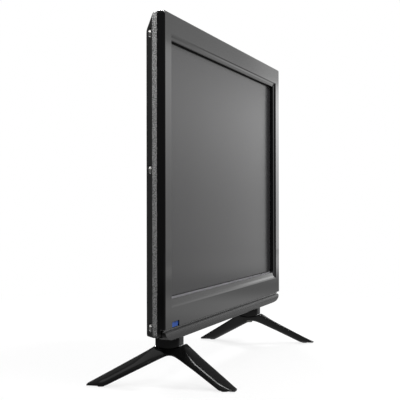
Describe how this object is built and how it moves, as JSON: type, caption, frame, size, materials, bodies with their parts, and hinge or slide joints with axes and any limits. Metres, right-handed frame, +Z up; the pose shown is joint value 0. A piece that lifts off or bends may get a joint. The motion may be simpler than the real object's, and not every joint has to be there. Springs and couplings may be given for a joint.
{
  "type": "flat screen television",
  "caption": "Slim flat screen television with a glossy black bezel on two splayed feet, with keys and sockets on its rear.",
  "frame": {"origin": "on the floor, midway between the two feet and midway between their front and rear toes", "axes": "+X to the viewer's right, +Y away from the viewer to the rear, +Z up"},
  "size_m": [0.455, 0.141, 0.3365],
  "materials": {
    "aluminium": "brushed",
    "black_screw": "black oxide",
    "blue_lens": "translucent blue",
    "blue_plastic": "satin",
    "brass": "machined",
    "capacitor_sleeve": "sleeved",
    "circuit_green": "solder mask",
    "circuit_tan": "bare laminate",
    "clear_acrylic": "clear",
    "cone_paper": "matt",
    "diffuser_film": "matt",
    "ferrite": "matt",
    "gloss_black": "gloss",
    "gloss_leg": "gloss",
    "lamp_strip": "painted",
    "pad_rubber": "matt",
    "ribbon_white": "matt",
    "satin_black": "satin",
    "screen_glass": "anti-glare",
    "screw_steel": "bright",
    "socket_black": "matt",
    "textured_black": "textured",
    "tin_plate": "tin plated",
    "white_film": "matt",
    "white_plastic": "matt",
    "wire_black": "satin",
    "wire_red": "satin",
    "zinc_steel": "zinc plated"
  },
  "bodies": {
    "set": {"aerial_socket": "tin_plate", "audio_jacks": "socket_black", "board_screws": "screw_steel", "capacitors": "capacitor_sleeve", "chin_trim": "gloss_black", "cover_screws": "black_screw", "driver_board": "circuit_green", "foot_pads": "pad_rubber", "front_bezel": "gloss_black", "hdmi_socket": "tin_plate", "ir_board": "circuit_green", "ir_window": "blue_lens", "key_board": "circuit_tan", "key_leads": "wire_black", "lcd_glass": "screen_glass", "led_bar": "lamp_strip", "light_guide": "clear_acrylic", "main_board": "circuit_green", "mains_inlet": "socket_black", "optical_sheets": "diffuser_film", "panel_chassis": "zinc_steel", "panel_frame": "zinc_steel", "panel_rail_left": "zinc_steel", "panel_rail_right": "zinc_steel", "panel_ribbon": "ribbon_white", "panel_tray": "white_plastic", "power_board": "circuit_tan", "power_harness": "wire_red", "power_heatsink": "aluminium", "processor_heatsink": "aluminium", "rail_screws": "screw_steel", "rear_cover": "textured_black", "reflector_sheet": "white_film", "speaker_box_left": "socket_black", "speaker_box_right": "socket_black", "speaker_driver_left": "cone_paper", "speaker_driver_right": "cone_paper", "speaker_leads": "wire_black", "stand_bracket_left": "zinc_steel", "stand_bracket_right": "zinc_steel", "stand_foot_left": "gloss_leg", "stand_foot_right": "gloss_leg", "stand_neck_left": "satin_black", "stand_neck_right": "satin_black", "stand_screws": "screw_steel", "transformer": "ferrite", "tuner_module": "tin_plate", "usb_socket": "tin_plate", "vga_socket": "blue_plastic", "wall_mount_inserts": "brass"},
    "key_body_1": {"key_1": "satin_black"},
    "key_body_2": {"key_2": "satin_black"},
    "key_body_3": {"key_3": "satin_black"},
    "key_body_4": {"key_4": "satin_black"},
    "key_body_5": {"key_5": "satin_black"},
    "key_body_6": {"key_6": "satin_black"},
    "key_body_7": {"key_7": "satin_black"}
  },
  "joints": [
    {"name": "key_1_press", "type": "slide", "parent": "set", "child": "key_body_1", "axis": [0, -1, 0], "range_m": [0, 0.0006], "stiffness_N_per_m": 200},
    {"name": "key_2_press", "type": "slide", "parent": "set", "child": "key_body_2", "axis": [0, -1, 0], "range_m": [0, 0.0006], "stiffness_N_per_m": 200},
    {"name": "key_3_press", "type": "slide", "parent": "set", "child": "key_body_3", "axis": [0, -1, 0], "range_m": [0, 0.0006], "stiffness_N_per_m": 200},
    {"name": "key_4_press", "type": "slide", "parent": "set", "child": "key_body_4", "axis": [0, -1, 0], "range_m": [0, 0.0006], "stiffness_N_per_m": 200},
    {"name": "key_5_press", "type": "slide", "parent": "set", "child": "key_body_5", "axis": [0, -1, 0], "range_m": [0, 0.0006], "stiffness_N_per_m": 200},
    {"name": "key_6_press", "type": "slide", "parent": "set", "child": "key_body_6", "axis": [0, -1, 0], "range_m": [0, 0.0006], "stiffness_N_per_m": 200},
    {"name": "key_7_press", "type": "slide", "parent": "set", "child": "key_body_7", "axis": [0, -1, 0], "range_m": [0, 0.0006], "stiffness_N_per_m": 200}
  ]
}
